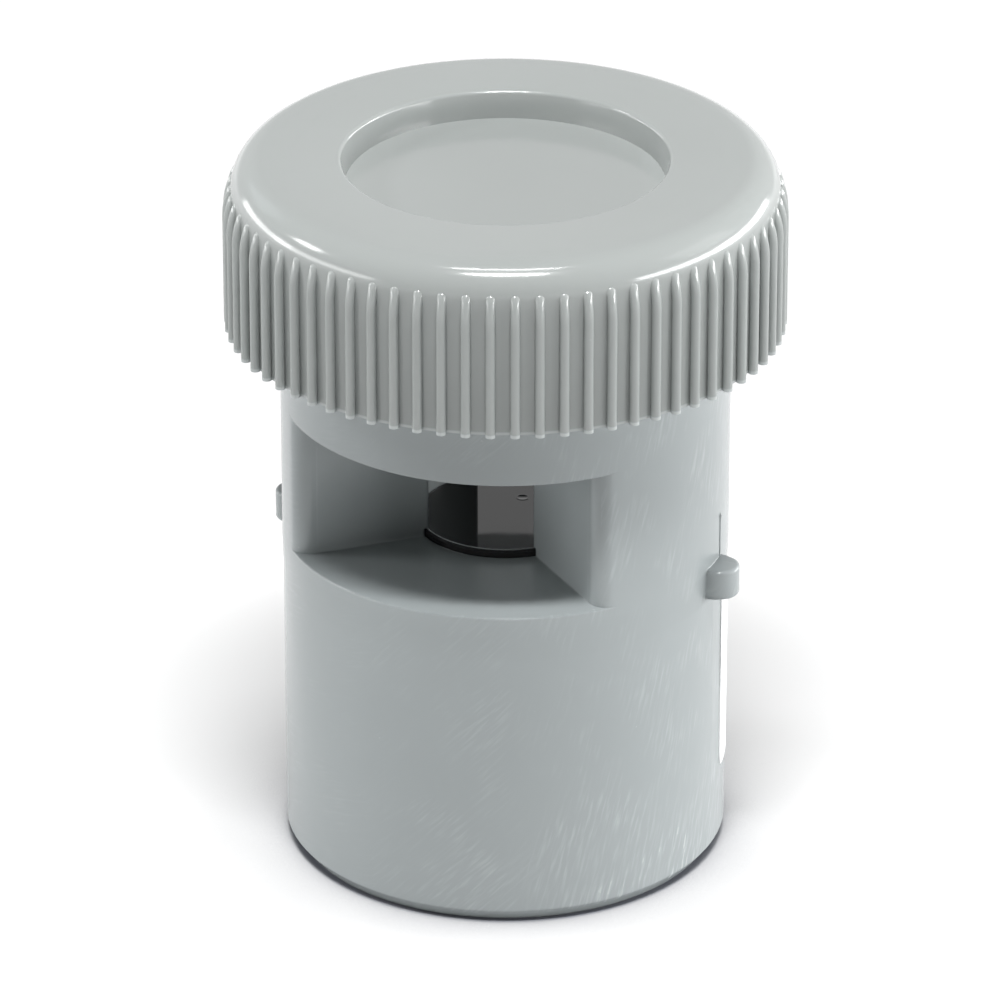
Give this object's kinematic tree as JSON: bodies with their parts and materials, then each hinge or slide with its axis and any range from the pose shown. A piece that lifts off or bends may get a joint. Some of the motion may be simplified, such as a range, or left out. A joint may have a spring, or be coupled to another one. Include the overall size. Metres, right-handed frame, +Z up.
{
  "type": "air admittance valve",
  "caption": "Small grey air admittance valve for a waste pipe, with a ribbed screw cap, side windows, a lifting membrane and a spigot with a pipe socket.",
  "frame": {"origin": "centre of the foot, on the surface that the valve stands on", "axes": "+Z up along the valve's axis, windows facing -Y and +Y, stop lugs on -X and +X"},
  "size_m": [0.05, 0.05, 0.0661],
  "materials": {
    "body_pvc": "satin grey moulded PVC",
    "cap_pvc": "satin grey moulded PVC",
    "black_plug": "glossy black",
    "membrane_rubber": "satin black rubber",
    "gasket_rubber": "matt black rubber",
    "paper_label": "blank white sticker"
  },
  "bodies": {
    "body": {"body": "body_pvc", "shaft_plug": "black_plug"},
    "membrane": {"valve_membrane": "membrane_rubber"},
    "gasket": {"cap_gasket": "gasket_rubber"},
    "cap": {"cap": "cap_pvc"}
  },
  "joints": [
    {"name": "valve_lift", "type": "slide", "parent": "body", "child": "membrane", "axis": [0, 0, 1], "range_m": [0, 0.0035]},
    {"name": "cap_rise", "type": "slide", "parent": "body", "child": "gasket", "axis": [0, 0, 1], "range_m": [0, 0.00601]},
    {"name": "cap_turn", "type": "hinge", "parent": "gasket", "child": "cap", "pos_m": [0, 0, 0.06], "axis": [0, 0, 1], "range_deg": [0, 720]}
  ],
  "couplings": [
    {"joint": "cap_rise", "follows": "cap_turn", "m_per_rad": 0.00047746}
  ]
}
